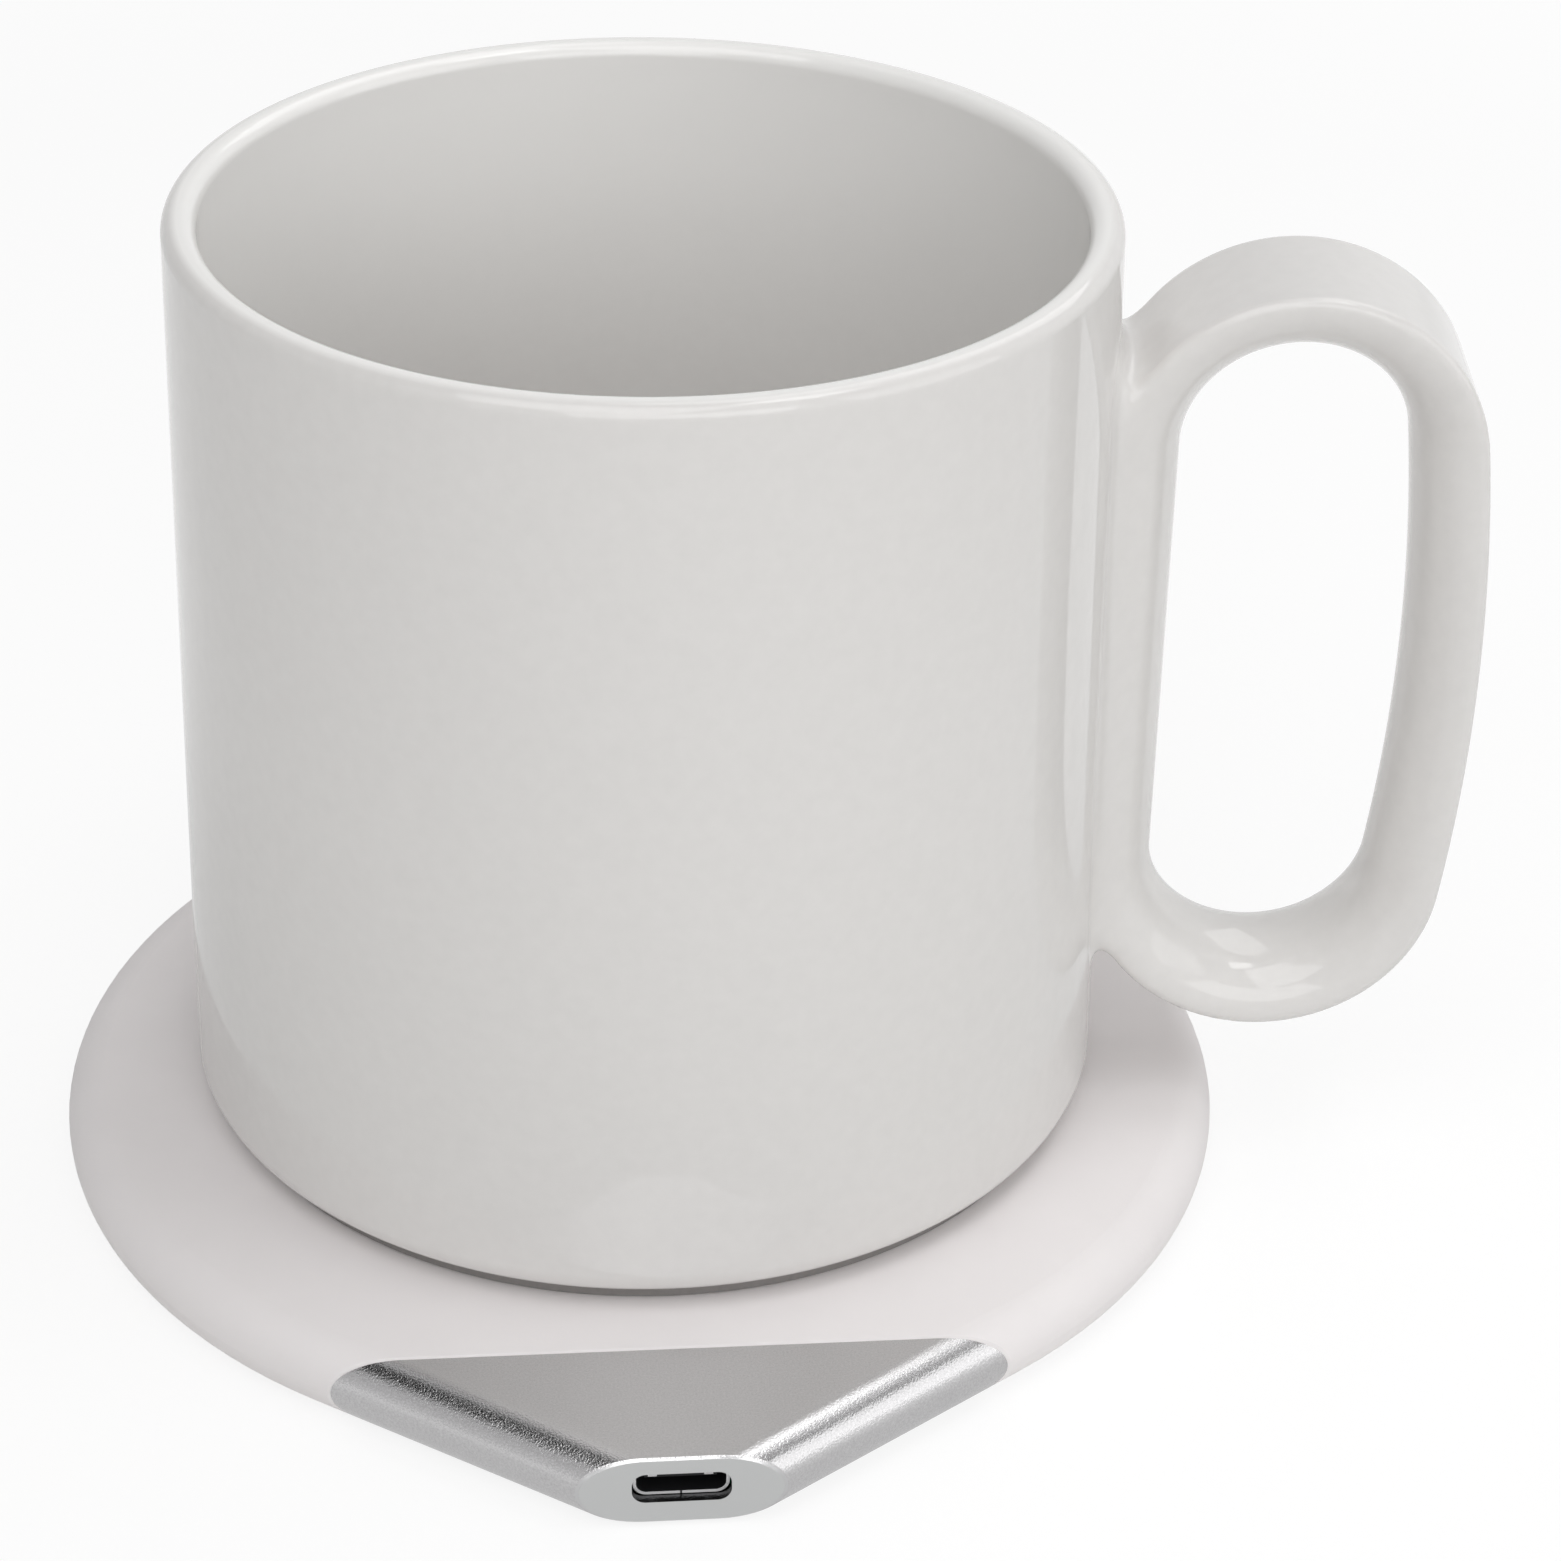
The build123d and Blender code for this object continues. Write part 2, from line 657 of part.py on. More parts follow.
def handle_route():
    """The middle of the band: a straight side at the mug, round corners and a bowed outer side."""
    half_width = (handle_width - band_thickness) / 2
    half_height = (handle_height - band_thickness) / 2
    corner_radius = half_width - handle_bow
    rise = half_height - corner_radius
    # The radius at which the bow meets both corners tangentially.
    bow_radius = half_width + rise ** 2 / (4 * handle_bow)
    bow_centre = half_width - bow_radius
    corner_x = corner_radius - half_width
    touch_angle = math.atan2(rise, corner_x - bow_centre)
    touch_x = corner_x + corner_radius * math.cos(touch_angle)
    touch_z = rise + corner_radius * math.sin(touch_angle)
    top_angle = (touch_angle + math.pi) / 2
    top_x = corner_x + corner_radius * math.cos(top_angle)
    top_z = rise + corner_radius * math.sin(top_angle)
    route = Line((-half_width, -rise), (-half_width, rise))
    route += ThreePointArc((-half_width, rise), (top_x, top_z), (touch_x, touch_z))
    route += ThreePointArc((touch_x, touch_z), (half_width, 0), (touch_x, -touch_z))
    route += ThreePointArc((touch_x, -touch_z), (top_x, -top_z), (-half_width, -rise))
    return Plane.XZ * route


def mug_handle():
    route = handle_route()
    section = Plane(origin=route @ 0, x_dir=(1, 0, 0), z_dir=route % 0) * band_section()
    centre_z = mug_bottom + handle_centre_height
    centre_x = mug_radius(centre_z) - handle_sink + handle_width / 2
    ring = Pos(centre_x, 0, centre_z) * sweep(section, route)
    wall = Pos(0, 0, mug_bottom) * Cone(mug_bottom_radius, mug_top_radius, mug_height,
                                        align=(Align.CENTER, Align.CENTER, Align.MIN))
    return Rot(0, 0, handle_angle) * (ring - wall)


def base_cap():
    """The mug's foot: a flat cap with a spigot that stands in the recess."""
    plate = disc(mug_bottom_radius - cap_step, cap_bottom, mug_bottom)
    plate = chamfer(plate.edges().sort_by(Axis.Z)[0], cap_edge)
    spigot = disc(spigot_radius, mug_bottom, mug_bottom + spigot_height)
    spigot -= disc(spigot_inner_radius, mug_bottom, mug_bottom + spigot_height)
    groove_low = mug_bottom + seal_rise
    groove = disc(recess_radius, groove_low, groove_low + seal_size)
    groove -= disc(recess_radius - seal_size - seal_fit, groove_low, groove_low + seal_size)
    cap = plate + spigot - groove
    for at in on_circle(receiver_post_circle, RECEIVER_POST_ANGLES):
        cap += disc(boss_radius, mug_bottom, receiver_board_bottom, at)
        tip = receiver_board_top - receiver_screw_length
        cap -= disc(screw_radius + screw_fit, tip - hole_spare, receiver_board_bottom, at)
    return cap


def cap_seal():
    low = mug_bottom + seal_rise
    ring = disc(recess_radius - seal_fit, low, low + seal_size)
    return ring - disc(recess_radius - seal_size, low, low + seal_size)


def receiver_coil():
    return flat_coil(receiver_coil_hole, receiver_coil_radius, receiver_coil_wire, receiver_coil_bottom)


def receiver_ferrite():
    top = receiver_ferrite_bottom + receiver_ferrite_thickness
    return disc(receiver_coil_radius, receiver_ferrite_bottom, top)


def receiver_leads():
    middle = receiver_coil_bottom + receiver_coil_wire / 2
    landing = receiver_coil_radius + 2 * lead_bend
    leads = []
    for x in (-lead_spacing / 2, lead_spacing / 2):
        leads.append(bent_lead((x, receiver_coil_radius, middle), (x, landing, middle),
                               (x, landing, receiver_board_bottom), lead_radius))
    return Compound(leads)


def receiver_board():
    board = disc(receiver_board_radius, receiver_board_bottom, receiver_board_top)
    for at in on_circle(receiver_post_circle, RECEIVER_POST_ANGLES):
        board -= disc(screw_radius + board_hole_spare, receiver_board_bottom, receiver_board_top, at)
    return board


def receiver_screws():
    screw = pan_screw(-receiver_board_top, receiver_screw_length)
    return group(mirror(screw, Plane.XY), on_circle(receiver_post_circle, RECEIVER_POST_ANGLES))


def rectifier_chips():
    body = Pos(0, 0, receiver_board_top) * chip(rectifier_size, rectifier_size, rectifier_height)
    return group(body, [(-rectifier_size * 2, -sensor_offset), (0, -sensor_offset),
                        (rectifier_size * 2, -sensor_offset)])


def smoothing_capacitors():
    body = chip(smoothing_length, smoothing_width, smoothing_height)
    body = Pos(0, 0, receiver_board_top) * body
    return group(body, [(smoothing_pitch * i, -sensor_offset - 2 * smoothing_width) for i in (-1, 0, 1)])


def heating_film():
    return disc(film_radius, film_bottom, recess_top)


def film_lead_places():
    half = film_lead_spacing / 2
    return [(-half, film_lead_circle), (half, film_lead_circle)]


def insulation_pad():
    pad = disc(film_radius, insulation_bottom, film_bottom)
    pad -= disc(sensor_radius + pocket_gap, insulation_bottom, film_bottom, (-sensor_offset, 0))
    half_length = cutout_length / 2 + pocket_gap
    half_width = cutout_width / 2 + pocket_gap
    pad -= block(sensor_offset - half_length, sensor_offset + half_length, -half_width, half_width,
                 insulation_bottom, film_bottom)
    for at in film_lead_places():
        pad -= disc(film_lead_radius + pocket_gap, insulation_bottom, film_bottom, at)
    return pad


def with_legs(body, x, z_low, spacing):
    """A sensor's body with its two legs down to the receiver board."""
    for y in (-spacing / 2, spacing / 2):
        body += disc(leg_radius, receiver_board_top, z_low + leg_radius, (x, y))
    return body


def film_thermistor():
    low = film_bottom - sensor_height
    return with_legs(disc(sensor_radius, low, film_bottom, (-sensor_offset, 0)),
                     -sensor_offset, low, leg_spacing)


def thermal_cutout():
    low = film_bottom - cutout_height
    body = block(sensor_offset - cutout_length / 2, sensor_offset + cutout_length / 2,
                 -cutout_width / 2, cutout_width / 2, low, film_bottom)
    body = fillet(body.edges().filter_by(Axis.Z), cutout_corner)
    return with_legs(body, sensor_offset, low, leg_spacing * 2)


def heater_leads():
    return group(disc(film_lead_radius, receiver_board_top, film_bottom), film_lead_places())


# ------------------------------------------------------------------ writing the pieces
PAD_PIECES = {
    "top_cover": top_cover,
    "bottom_cover": bottom_cover,
    "antislip_pad": antislip_pad,
    "port_nose": port_nose,
    "usb_shell": usb_shell,
    "usb_tongue": usb_tongue,
    "usb_contacts": usb_contacts,
    "coil_carrier": coil_carrier,
    "transmitter_ferrite": transmitter_ferrite,
    "transmitter_coil": transmitter_coil,
    "coil_leads": coil_leads,
    "coil_thermistor": coil_thermistor,
    "main_board": main_board,
    "power_inductor": power_inductor,
    "control_chip": control_chip,
    "power_transistors": power_transistors,
    "resonant_capacitors": resonant_capacitors,
    "carrier_screws": carrier_screws,
    "board_screws": board_screws,
    "cover_screws": cover_screws,
    "nose_screws": nose_screws,
}

MUG_PIECES = {
    "mug_body": mug_body,
    "mug_handle": mug_handle,
    "base_cap": base_cap,
    "cap_seal": cap_seal,
    "receiver_coil": receiver_coil,
    "receiver_ferrite": receiver_ferrite,
    "receiver_leads": receiver_leads,
    "receiver_board": receiver_board,
    "receiver_screws": receiver_screws,
    "rectifier_chips": rectifier_chips,
    "smoothing_capacitors": smoothing_capacitors,
    "heating_film": heating_film,
    "insulation_pad": insulation_pad,
    "film_thermistor": film_thermistor,
    "thermal_cutout": thermal_cutout,
    "heater_leads": heater_leads,
}


def main():
    os.makedirs("parts", exist_ok=True)
    for name, make in PAD_PIECES.items():
        export_step(make(), f"parts/{name}.step")
    for name, make in MUG_PIECES.items():
        export_step(Pos(mug_x, mug_y, 0) * make(), f"parts/{name}.step")


main()
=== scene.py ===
import bmesh
import bpy
import math
import numpy
from mathutils import Matrix, Vector


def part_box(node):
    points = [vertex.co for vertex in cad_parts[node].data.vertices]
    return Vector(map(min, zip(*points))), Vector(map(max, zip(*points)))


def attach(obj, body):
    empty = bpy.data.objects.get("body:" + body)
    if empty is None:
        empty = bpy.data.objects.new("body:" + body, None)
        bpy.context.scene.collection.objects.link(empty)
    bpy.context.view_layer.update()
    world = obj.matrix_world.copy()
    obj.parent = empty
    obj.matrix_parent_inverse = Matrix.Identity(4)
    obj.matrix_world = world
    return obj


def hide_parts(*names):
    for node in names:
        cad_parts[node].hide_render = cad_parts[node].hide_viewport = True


# An inductive mug warmer: a thin soft-touch pad with a blasted aluminium nose, and a glazed mug that
# stands on it. Everything is in metres in the model's own frame; sizes are written in millimetres x MM.
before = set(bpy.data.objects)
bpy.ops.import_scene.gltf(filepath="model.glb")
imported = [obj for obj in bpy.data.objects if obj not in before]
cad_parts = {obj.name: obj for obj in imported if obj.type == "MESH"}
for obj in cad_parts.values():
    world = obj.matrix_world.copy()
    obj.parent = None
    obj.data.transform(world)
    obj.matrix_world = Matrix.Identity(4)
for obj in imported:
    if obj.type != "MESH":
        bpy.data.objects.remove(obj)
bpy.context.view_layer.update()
MM = 0.001

# ------------------------------------------------------------------ sizes
MERGE_DISTANCE = 0.001 * MM

MUG_LOW, MUG_HIGH = (corner.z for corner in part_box("mug_body"))
MUG_AXIS = Vector((0.4, 1.3, 0)) * MM
MUG_TOP_RADIUS = 45.0 * MM
MUG_BOTTOM_RADIUS = 46.7 * MM
MUG_WALL = 3.3 * MM
MUG_FLOOR = 4.5 * MM
LIP_ROUND = 1.5 * MM
FOOT_ROUND = 3.1 * MM
FLOOR_ROUND = 7.0 * MM
RECESS_RADIUS = 42.0 * MM
RECESS_DEPTH = 9.0 * MM
RECESS_ROUND = 0.8 * MM
RECESS_EDGE = 0.3 * MM
PAINTED_LIGHT_LOW = 56 * MM  # heights between which the inside is painted whiter, as painted light that falls in from above
PAINTED_LIGHT_HIGH = 98 * MM
MUG_STEPS = 512  # round the axis
ROUND_STEPS = 12  # along each rounded edge

HANDLE_ANGLE = math.radians(-5.4)
HANDLE_CENTRE_HEIGHT = 47.6 * MM  # above the mug's underside
HANDLE_HEIGHT = 81.0 * MM
HANDLE_WIDTH = 37.1 * MM
HANDLE_BOW = 0.7 * MM  # how far the outer side bows outwards
HANDLE_SINK = 1.0 * MM  # into the mug's wall
BAND_THICKNESS = 6.8 * MM
BAND_DEPTH = 16.0 * MM
BAND_EDGE_ROUND = 0.8 * MM
BAND_SIDES = 96
BAND_ELLIPSE = BAND_THICKNESS - BAND_EDGE_ROUND  # the inner side's radius across the band
ELLIPSE_OUT = BAND_THICKNESS / 2 - BAND_EDGE_ROUND  # from the band's middle out to the ellipse's centre
# The band's middle line is a straight side, two corners and a bowed side, about the handle's middle.
BAND_HALF_WIDTH = (HANDLE_WIDTH - BAND_THICKNESS) / 2
CORNER_RADIUS = BAND_HALF_WIDTH - HANDLE_BOW
CORNER_X = CORNER_RADIUS - BAND_HALF_WIDTH
CORNER_Z = (HANDLE_HEIGHT - BAND_THICKNESS) / 2 - CORNER_RADIUS
BOW_RADIUS = BAND_HALF_WIDTH + CORNER_Z ** 2 / (4 * HANDLE_BOW)
BOW_X = BAND_HALF_WIDTH - BOW_RADIUS
BOW_ANGLE = math.atan2(CORNER_Z, CORNER_X - BOW_X)
CORNER_STEPS = 48
BOW_STEPS = 32

ROOT_VOXELS = (0.6 * MM, 0.38 * MM)  # a rough form first, and then the finished surface
ROOT_SIDE_RADIUS = 3.0 * MM  # clay and glaze in the corner beside the band
ROOT_TOP_RADIUS = 4.0 * MM  # and in the notch above it
ROOT_BOTTOM_RADIUS = 2.7 * MM  # and in the one below
ROOT_BLEND = 0.45  # share of a corner over which the one radius becomes the other
ROOT_DEPTH = 2.2 * MM  # how far the handle's root reaches into the wall
ROOT_SINK = 0.004 * MM  # its face, under the wall's own surface
ROOT_SPREAD = 1.6  # its width along the wall, in widths of the band
ROOT_STEPS = 48
SETTLE_STEPS = 16
SETTLE_REACH = 0.4 * MM  # the furthest that a point moves in one step
SETTLE_DEPTH = 0.2 * MM  # points further than this inside the wall stay where they are
LEAST_SLOPE = 0.1  # no step is divided by less

# Places in Y are just behind the surface that they mark.
NOSE_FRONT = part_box("port_nose")[0].y
NOSE_FACE = NOSE_FRONT + 0.01 * MM
NOSE_CUT = NOSE_FRONT + 0.07 * MM  # middle of the polished cut along the end face's edge
NOSE_CUT_REACH = 0.045 * MM  # and half its width
SHELL_LOW, SHELL_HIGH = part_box("usb_shell")
SHELL_EDGE = SHELL_LOW.y + 0.02 * MM
SHELL_SEAM = 0.09 * MM  # half the width of the gap where the shell's sheet meets
PORT_MIDDLE = Vector((0, NOSE_FRONT, (SHELL_LOW.z + SHELL_HIGH.z) / 2))
PORT_HALF_WIDTH = 4.62 * MM
PORT_HALF_HEIGHT = 1.67 * MM
TONGUE_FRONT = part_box("usb_tongue")[0].y + 0.15 * MM
LAND_MIDDLE = 2.6 * MM  # the steel lands on the tongue's front end, out from its middle
LAND_REACH = 0.42 * MM
LAND_HEIGHT = PORT_MIDDLE.z - 0.15 * MM
LAND_HALF_HEIGHT = 0.13 * MM


# ------------------------------------------------------------------ helpers
def linear(hex_code):
    """An sRGB hex colour as linear RGBA."""
    channels = [int(hex_code[i:i + 2], 16) / 255 for i in (1, 3, 5)]
    return tuple(c / 12.92 if c <= 0.04045 else ((c + 0.055) / 1.055) ** 2.4 for c in channels) + (1.0,)


def add(tree, kind, links=None, **settings):
    """Adds one node. Its settings are properties; links gives each socket a value or what feeds it."""
    new = tree.nodes.new(kind)
    for name, value in settings.items():
        setattr(new, name, value)
    for name, value in (links or {}).items():
        if isinstance(value, bpy.types.NodeSocket):
            tree.links.new(value, new.inputs[name])
        else:
            new.inputs[name].default_value = value
    return new


def new_material(name):
    """An empty node tree and the coordinates that its pattern follows."""
    material = bpy.data.materials.new(name)
    material.use_nodes = True
    tree = material.node_tree
    tree.nodes.clear()
    return material, tree, add(tree, "ShaderNodeTexCoord").outputs["Object"]


def close_material(tree, sockets):
    """Ends a material's tree in one shader with the given looks."""
    shader = add(tree, "ShaderNodeBsdfPrincipled", sockets)
    add(tree, "ShaderNodeOutputMaterial", {"Surface": shader.outputs["BSDF"]})


def mottled(tree, place, size, detail, low_hex, high_hex):
    """Noise with one grain size, and the two close tones that it mixes."""
    grain = add(tree, "ShaderNodeTexNoise", {"Vector": place, "Scale": 1 / size, "Detail": detail})
    tone = add(tree, "ShaderNodeMix", {0: grain.outputs["Fac"], 6: linear(low_hex), 7: linear(high_hex)},
               data_type="RGBA")
    return grain.outputs["Fac"], tone.outputs[2]


def seen_rays(tree):
    """The light path, and a mask of the rays by which camera, metal and glass see a surface."""
    path = add(tree, "ShaderNodeLightPath").outputs
    seen = add(tree, "ShaderNodeMath", {0: path["Is Camera Ray"], 1: path["Is Glossy Ray"]},
               operation="MAXIMUM")
    seen = add(tree, "ShaderNodeMath", {0: seen.outputs[0], 1: path["Is Transmission Ray"]},
               operation="MAXIMUM")
    return path, seen.outputs[0]


def new_object(name, bm, material):
    """A smooth object in the scene, made of the bmesh."""
    mesh = bpy.data.meshes.new(name)
    bm.to_mesh(mesh)
    bm.free()
    mesh.polygons.foreach_set("use_smooth", [True] * len(mesh.polygons))
    mesh.materials.append(material)
    new = bpy.data.objects.new(name, mesh)
    bpy.context.scene.collection.objects.link(new)
    return new


def new_piece(name, bm, body, material, node):
    """A finished piece: it replaces a CAD node and rides on a body, in the material that it is given."""
    piece = new_object(name, bm, material)
    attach(piece, body)
    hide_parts(node)
    return piece


def facing(azimuth, elevation):
    """The turn that points an object's own +Z outwards that way. Azimuth 0 is in front."""
    lean = Matrix.Rotation(math.radians(90 - elevation), 4, "X")
    return Matrix.Rotation(math.radians(azimuth), 4, "Z") @ lean


# ------------------------------------------------------------------ materials
def white_glaze():
    """Glazed stoneware: a white body under a clear fired glass, which gives sharp window reflections
    on soft grey-white, with the slight waviness of a dipped glaze, 14 mm from wave to wave. Inside,
    below the lip, the wall is painted whiter towards the top: painted light that falls into the mug."""
    material, tree, place = new_material("white_glaze")
    wave = add(tree, "ShaderNodeTexNoise", {"Vector": place, "Scale": 1 / (14 * MM), "Detail": 2.0})
    bump = add(tree, "ShaderNodeBump", {"Height": wave.outputs["Fac"], "Strength": 1.0,
                                        "Distance": 0.02 * MM})
    _, body = mottled(tree, place, 1.6 * MM, 3.0, "#DFDDDB", "#E5E3E1")
    from_axis = add(tree, "ShaderNodeVectorMath", {0: place, 1: MUG_AXIS}, operation="SUBTRACT")
    flat = add(tree, "ShaderNodeVectorMath", {0: from_axis.outputs[0], 1: (1, 1, 0)}, operation="MULTIPLY")
    radius = add(tree, "ShaderNodeVectorMath", {0: flat.outputs[0]}, operation="LENGTH")
    # Painted light: inside the wall, the glaze is painted whiter the higher it lies, up towards the lip.
    inside = add(tree, "ShaderNodeMapRange", {0: radius.outputs["Value"], 1: MUG_TOP_RADIUS - LIP_ROUND / 2,
                                              2: MUG_TOP_RADIUS - LIP_ROUND, 3: 0.0, 4: 1.0})
    spot = add(tree, "ShaderNodeSeparateXYZ", {"Vector": place})
    height = add(tree, "ShaderNodeMapRange", {0: spot.outputs["Z"], 1: PAINTED_LIGHT_LOW, 2: PAINTED_LIGHT_HIGH,
                                              3: 0.0, 4: 1.0})
    painted_light = add(tree, "ShaderNodeMath", {0: inside.outputs[0], 1: height.outputs[0]}, operation="MULTIPLY")
    glaze_with_painted_light = add(tree, "ShaderNodeMix", {0: painted_light.outputs[0], 6: body, 7: linear("#F6F5F3")},
               data_type="RGBA")
    close_material(tree, {"Base Color": glaze_with_painted_light.outputs[2], "Roughness": 0.025, "IOR": 1.52,
                          "Normal": bump.outputs["Normal"]})
    return material


def soft_touch_white():
    """Rubberised paint on a moulded cover: dead matt, with a very fine grain, drawn at 0.4 mm so that
    it shows."""
    material, tree, place = new_material("soft_touch_white")
    grain = add(tree, "ShaderNodeTexNoise", {"Vector": place, "Scale": 1 / (0.4 * MM), "Detail": 2.0})
    bump = add(tree, "ShaderNodeBump", {"Height": grain.outputs["Fac"], "Strength": 0.5,
                                        "Distance": 0.02 * MM})
    _, paint = mottled(tree, place, 9 * MM, 2.0, "#EFEBEB", "#F4F0F0")
    close_material(tree, {"Base Color": paint, "Roughness": 0.62, "IOR": 1.48, "Sheen Weight": 0.15,
                          "Sheen Roughness": 0.5, "Normal": bump.outputs["Normal"]})
    return material


def blasted_aluminium():
    """Bead-blasted and clear anodised aluminium: a fine sparkling grain, drawn at 0.2 mm so that it
    shows. The end face is milled smooth after it, and a polished cut round that face gives a thin
    bright line. The wall of the port's opening is painted dark grey, as painted shade inside it."""
    material, tree, place = new_material("blasted_aluminium")
    grain, blasted = mottled(tree, place, 0.2 * MM, 2.0, "#B9B8B9", "#DDDCDD")
    spot = add(tree, "ShaderNodeSeparateXYZ", {"Vector": place}).outputs
    face = add(tree, "ShaderNodeMath", {0: spot["Y"], 1: NOSE_FACE}, operation="LESS_THAN").outputs[0]
    cut = add(tree, "ShaderNodeMath", {0: spot["Y"], 1: NOSE_CUT, 2: NOSE_CUT_REACH},
              operation="COMPARE").outputs[0]
    smooth = add(tree, "ShaderNodeMath", {0: face, 1: cut}, operation="MAXIMUM")
    relief = add(tree, "ShaderNodeMix", {0: smooth.outputs[0], 2: grain, 3: 0.5}, data_type="FLOAT")
    bump = add(tree, "ShaderNodeBump", {"Height": relief.outputs[0], "Strength": 1.0,
                                        "Distance": 0.03 * MM})
    metal = add(tree, "ShaderNodeMix", {0: face, 6: blasted, 7: linear("#D3D4D4")}, data_type="RGBA")
    metal = add(tree, "ShaderNodeMix", {0: cut, 6: metal.outputs[2], 7: linear("#D0D0D1")},
                data_type="RGBA")
    # Painted shade: the wall of the port's opening, behind the end face, is painted dark grey.
    aside = add(tree, "ShaderNodeVectorMath", {0: place, 1: PORT_MIDDLE}, operation="SUBTRACT")
    aside = add(tree, "ShaderNodeVectorMath", {0: aside.outputs[0]}, operation="ABSOLUTE")
    aside = add(tree, "ShaderNodeSeparateXYZ", {"Vector": aside.outputs[0]}).outputs
    within = add(tree, "ShaderNodeMath", {0: aside["X"], 1: PORT_HALF_WIDTH}, operation="LESS_THAN")
    level = add(tree, "ShaderNodeMath", {0: aside["Z"], 1: PORT_HALF_HEIGHT}, operation="LESS_THAN")
    port = add(tree, "ShaderNodeMath", {0: within.outputs[0], 1: level.outputs[0]}, operation="MULTIPLY")
    port = add(tree, "ShaderNodeMath", {0: port.outputs[0], 1: face}, operation="SUBTRACT", use_clamp=True)
    metal = add(tree, "ShaderNodeMix", {0: port.outputs[0], 6: metal.outputs[2], 7: linear("#565657")},
                data_type="RGBA")
    close_material(tree, {"Base Color": metal.outputs[2], "Metallic": 1.0, "Roughness": 0.2,
                          "Normal": bump.outputs["Normal"]})
    return material


def port_shell():
    """Drawn and tin-plated steel shell of the port: painted dark inside as painted shade, with a cut front
    edge painted near white, the tin's light tone and a painted highlight, broken below by the sheet's seam."""
    material, tree, place = new_material("port_shell")
    _, painted_shade = mottled(tree, place, 0.3 * MM, 2.0, "#232325", "#2F2F31")
    spot = add(tree, "ShaderNodeSeparateXYZ", {"Vector": place}).outputs
    # Painted shade: all of the shell but its cut front edge is painted near black. The edge is painted near
    # white, the tin's tone with a painted highlight; the seam's gap stays dark.
    edge = add(tree, "ShaderNodeMath", {0: spot["Y"], 1: SHELL_EDGE}, operation="LESS_THAN")
    seam = add(tree, "ShaderNodeMath", {0: spot["X"], 1: 0.0, 2: SHELL_SEAM}, operation="COMPARE")
    below = add(tree, "ShaderNodeMath", {0: spot["Z"], 1: PORT_MIDDLE.z}, operation="LESS_THAN")
    gap = add(tree, "ShaderNodeMath", {0: seam.outputs[0], 1: below.outputs[0]}, operation="MULTIPLY")
    bright = add(tree, "ShaderNodeMath", {0: edge.outputs[0], 1: gap.outputs[0]}, operation="SUBTRACT",
                 use_clamp=True)
    steel = add(tree, "ShaderNodeMix", {0: bright.outputs[0], 6: painted_shade, 7: linear("#F4F4F5")},
                data_type="RGBA")
    close_material(tree, {"Base Color": steel.outputs[2], "Metallic": 0.3, "Roughness": 0.35})
    return material


def tongue_plastic():
    """Black liquid-crystal polymer moulded round a steel plate, whose two lands show as light marks
    on the tongue's front end."""
    material, tree, place = new_material("tongue_plastic")
    _, black = mottled(tree, place, 0.2 * MM, 2.0, "#161617", "#222224")
    spot = add(tree, "ShaderNodeSeparateXYZ", {"Vector": place}).outputs
    side = add(tree, "ShaderNodeMath", {0: spot["X"]}, operation="ABSOLUTE")
    side = add(tree, "ShaderNodeMath", {0: side.outputs[0], 1: LAND_MIDDLE, 2: LAND_REACH},
               operation="COMPARE")
    front = add(tree, "ShaderNodeMath", {0: spot["Y"], 1: TONGUE_FRONT}, operation="LESS_THAN")
    low = add(tree, "ShaderNodeMath", {0: spot["Z"], 1: LAND_HEIGHT, 2: LAND_HALF_HEIGHT},
              operation="COMPARE")
    land = add(tree, "ShaderNodeMath", {0: side.outputs[0], 1: front.outputs[0]}, operation="MULTIPLY")
    land = add(tree, "ShaderNodeMath", {0: land.outputs[0], 1: low.outputs[0]}, operation="MULTIPLY")
    tone = add(tree, "ShaderNodeMix", {0: land.outputs[0], 6: black, 7: linear("#EFEFF0")},
               data_type="RGBA")
    close_material(tree, {"Base Color": tone.outputs[2], "Roughness": 0.4})
    return material


def grained(name, low_hex, high_hex, grain_size, relief, roughness, metallic=0.0):
    """A finish that is two close tones and a raised grain of one size, in millimetres."""
    material, tree, place = new_material(name)
    grain, tone = mottled(tree, place, grain_size * MM, 3.0, low_hex, high_hex)
    bump = add(tree, "ShaderNodeBump", {"Height": grain, "Strength": 0.7, "Distance": relief * MM})
    close_material(tree, {"Base Color": tone, "Metallic": metallic, "Roughness": roughness,
                          "Normal": bump.outputs["Normal"]})
    return material


